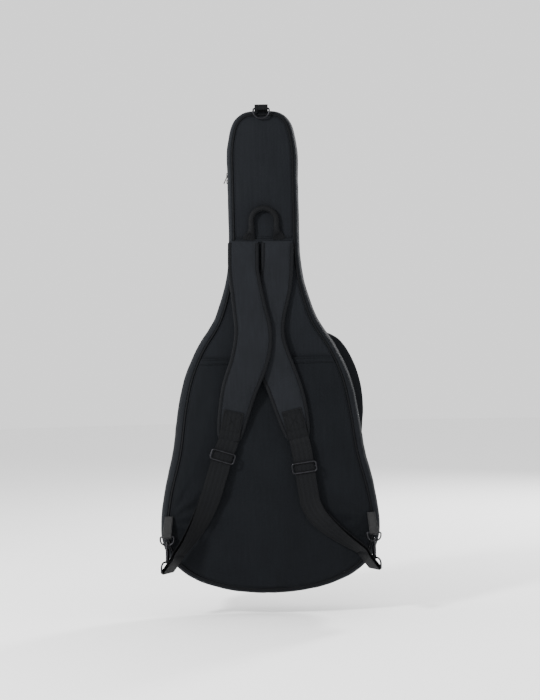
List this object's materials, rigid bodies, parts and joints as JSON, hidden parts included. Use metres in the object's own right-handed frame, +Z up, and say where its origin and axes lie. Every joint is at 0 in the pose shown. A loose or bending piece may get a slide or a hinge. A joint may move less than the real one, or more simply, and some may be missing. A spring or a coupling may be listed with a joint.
{
  "type": "padded gig bag",
  "caption": "Padded guitar gig bag with two shoulder straps, swivel hooks, back pocket, grab handle, hanging ring and a zip-open lid.",
  "frame": {"origin": "axis of the hanging ring's bar at the head end, on the bag's middle line", "axes": "+Z up along the bag from the bottom to the head; +Y towards the front pocket side; the shoulder straps are on the -Y side; +X to the right when looking at the straps"},
  "size_m": [0.4816, 0.2147, 1.0686],
  "materials": {
    "shell_cloth": "fine ribbed polyester, matt",
    "pocket_cloth": "fine ribbed polyester, matt",
    "foam": "soft closed-cell foam",
    "lining": "brushed nylon",
    "piping": "smooth cord piping",
    "binding": "grosgrain tape",
    "webbing": "ribbed webbing",
    "zip_tape": "woven tape",
    "zip_teeth": "moulded coil",
    "zip_metal": "black lacquered",
    "nickel": "dark nickel plating",
    "tab_leather": "black grained"
  },
  "bodies": {
    "back_shell": {"back_panel_upper": "shell_cloth", "back_panel_lower": "shell_cloth", "back_pocket_panel": "pocket_cloth", "back_pocket_hem": "binding", "back_foam": "foam", "back_lining": "lining", "back_gusset": "shell_cloth", "back_piping": "piping", "zip_tape_back": "zip_tape", "zip_teeth_back": "zip_teeth", "hinge_strip": "shell_cloth", "hang_tab": "webbing", "handle_tabs": "webbing", "corner_tab_left": "tab_leather", "corner_tab_right": "tab_leather"},
    "lid": {"front_panel": "shell_cloth", "front_foam": "foam", "front_lining": "lining", "front_gusset": "shell_cloth", "front_piping": "piping", "zip_tape_front": "zip_tape", "zip_teeth_front": "zip_teeth", "front_pocket_panel": "pocket_cloth", "front_pocket_side": "pocket_cloth", "front_pocket_piping": "piping", "front_pocket_zip_tape": "zip_tape", "front_pocket_zip_teeth": "zip_teeth"},
    "hang_ring": {"hang_ring": "nickel"},
    "handle": {"handle_grip": "webbing"},
    "slider_upper": {"zip_slider_upper": "zip_metal"},
    "pull_upper": {"zip_pull_upper": "zip_metal"},
    "slider_lower": {"zip_slider_lower": "zip_metal"},
    "pull_lower": {"zip_pull_lower": "zip_metal"},
    "pocket_slider": {"front_pocket_zip_slider": "zip_metal"},
    "pocket_pull": {"front_pocket_zip_pull": "zip_metal"},
    "strap_left": {"strap_face_left": "shell_cloth", "strap_foam_left": "foam", "strap_backing_left": "lining", "strap_binding_left": "binding", "strap_patch_left": "webbing"},
    "ring_left": {"corner_ring_left": "nickel"},
    "hook_left": {"hook_left": "nickel", "hook_eye_left": "nickel", "webbing_end_left": "webbing"},
    "gate_left": {"hook_gate_left": "nickel"},
    "webbing_left": {"webbing_left": "webbing"},
    "adjuster_left": {"adjuster_left": "nickel"},
    "strap_right": {"strap_face_right": "shell_cloth", "strap_foam_right": "foam", "strap_backing_right": "lining", "strap_binding_right": "binding", "strap_patch_right": "webbing"},
    "ring_right": {"corner_ring_right": "nickel"},
    "hook_right": {"hook_right": "nickel", "hook_eye_right": "nickel", "webbing_end_right": "webbing"},
    "gate_right": {"hook_gate_right": "nickel"},
    "webbing_right": {"webbing_right": "webbing"},
    "adjuster_right": {"adjuster_right": "nickel"}
  },
  "joints": [
    {"name": "lid_hinge", "type": "hinge", "parent": "back_shell", "child": "lid", "pos_m": [0.2385, 0.068, -0.895], "axis": [0, 0, -1], "range_deg": [0, 150]},
    {"name": "hang_ring_swing", "type": "hinge", "parent": "back_shell", "child": "hang_ring", "pos_m": [0, 0, 0], "axis": [-1, 0, 0], "range_deg": [0, 170]},
    {"name": "handle_swing", "type": "hinge", "parent": "back_shell", "child": "handle", "pos_m": [0, 0.001, -0.266], "axis": [1, 0, 0], "range_deg": [0, 100]},
    {"name": "zip_slider_upper_travel", "type": "slide", "parent": "back_shell", "child": "slider_upper", "axis": [0, 0, 1], "range_m": [0, 0.03]},
    {"name": "zip_slider_lower_travel", "type": "slide", "parent": "back_shell", "child": "slider_lower", "axis": [0, 0, -1], "range_m": [0, 0.12]},
    {"name": "zip_pull_upper_swing", "type": "hinge", "parent": "slider_upper", "child": "pull_upper", "pos_m": [-0.0777, 0.068, -0.136], "axis": [0, 1, 0], "range_deg": [0, 90]},
    {"name": "zip_pull_lower_swing", "type": "hinge", "parent": "slider_lower", "child": "pull_lower", "pos_m": [-0.0777, 0.068, -0.1506], "axis": [0, 1, 0], "range_deg": [0, 45]},
    {"name": "pocket_slider_travel", "type": "slide", "parent": "lid", "child": "pocket_slider", "axis": [1, 0, 0], "range_m": [0, 0.145]},
    {"name": "pocket_pull_swing", "type": "hinge", "parent": "pocket_slider", "child": "pocket_pull", "pos_m": [-0.058, 0.15205, -0.51093], "axis": [0, -0.0283, 0.9996], "range_deg": [0, 120]},
    {"name": "strap_lift_left", "type": "hinge", "parent": "back_shell", "child": "strap_left", "pos_m": [0, 0.0085, -0.2895], "axis": [-1, 0, 0], "range_deg": [0, 14]},
    {"name": "corner_ring_swing_left", "type": "hinge", "parent": "back_shell", "child": "ring_left", "pos_m": [-0.224, -0.015, -0.926], "axis": [-1, 0, 0], "range_deg": [0, 48]},
    {"name": "hook_swing_left", "type": "hinge", "parent": "ring_left", "child": "hook_left", "pos_m": [-0.224, -0.015, -0.944], "axis": [-1, 0, 0], "range_deg": [-2.5, 0]},
    {"name": "webbing_turn_left", "type": "hinge", "parent": "hook_left", "child": "webbing_left", "pos_m": [-0.224, -0.015, -1], "axis": [-1, 0, 0], "range_deg": [-56, 0]},
    {"name": "hook_gate_left", "type": "hinge", "parent": "hook_left", "child": "gate_left", "pos_m": [-0.224, -0.0083, -0.956], "axis": [1, 0, 0], "range_deg": [0, 15], "stiffness_Nm_per_rad": 0.004, "springref_deg": -20.05},
    {"name": "strap_lift_right", "type": "hinge", "parent": "back_shell", "child": "strap_right", "pos_m": [0, 0.0085, -0.2895], "axis": [-1, 0, 0], "range_deg": [0, 14]},
    {"name": "corner_ring_swing_right", "type": "hinge", "parent": "back_shell", "child": "ring_right", "pos_m": [0.224, -0.015, -0.926], "axis": [-1, 0, 0], "range_deg": [0, 48]},
    {"name": "hook_swing_right", "type": "hinge", "parent": "ring_right", "child": "hook_right", "pos_m": [0.224, -0.015, -0.944], "axis": [-1, 0, 0], "range_deg": [-2.5, 0]},
    {"name": "webbing_turn_right", "type": "hinge", "parent": "hook_right", "child": "webbing_right", "pos_m": [0.224, -0.015, -1], "axis": [-1, 0, 0], "range_deg": [-56, 0]},
    {"name": "hook_gate_right", "type": "hinge", "parent": "hook_right", "child": "gate_right", "pos_m": [0.224, -0.0083, -0.956], "axis": [1, 0, 0], "range_deg": [0, 15], "stiffness_Nm_per_rad": 0.004, "springref_deg": -20.05},
    {"name": "adjuster_travel_left", "type": "slide", "parent": "webbing_left", "child": "adjuster_left", "axis": [-0.3019, -0.0159, -0.9532], "range_m": [0, 0.045]},
    {"name": "adjuster_travel_right", "type": "slide", "parent": "webbing_right", "child": "adjuster_right", "axis": [0.1356, -0.0059, -0.9907], "range_m": [-0.015, 0.035]}
  ],
  "couplings": [
    {"joint": "corner_ring_swing_left", "follows": "strap_lift_left", "ratio": 3.4},
    {"joint": "hook_swing_left", "follows": "strap_lift_left", "ratio": -0.16},
    {"joint": "webbing_turn_left", "follows": "strap_lift_left", "ratio": -3.97},
    {"joint": "strap_lift_right", "follows": "strap_lift_left", "ratio": 1},
    {"joint": "corner_ring_swing_right", "follows": "strap_lift_left", "ratio": 3.4},
    {"joint": "hook_swing_right", "follows": "strap_lift_left", "ratio": -0.16},
    {"joint": "webbing_turn_right", "follows": "strap_lift_left", "ratio": -3.97}
  ]
}
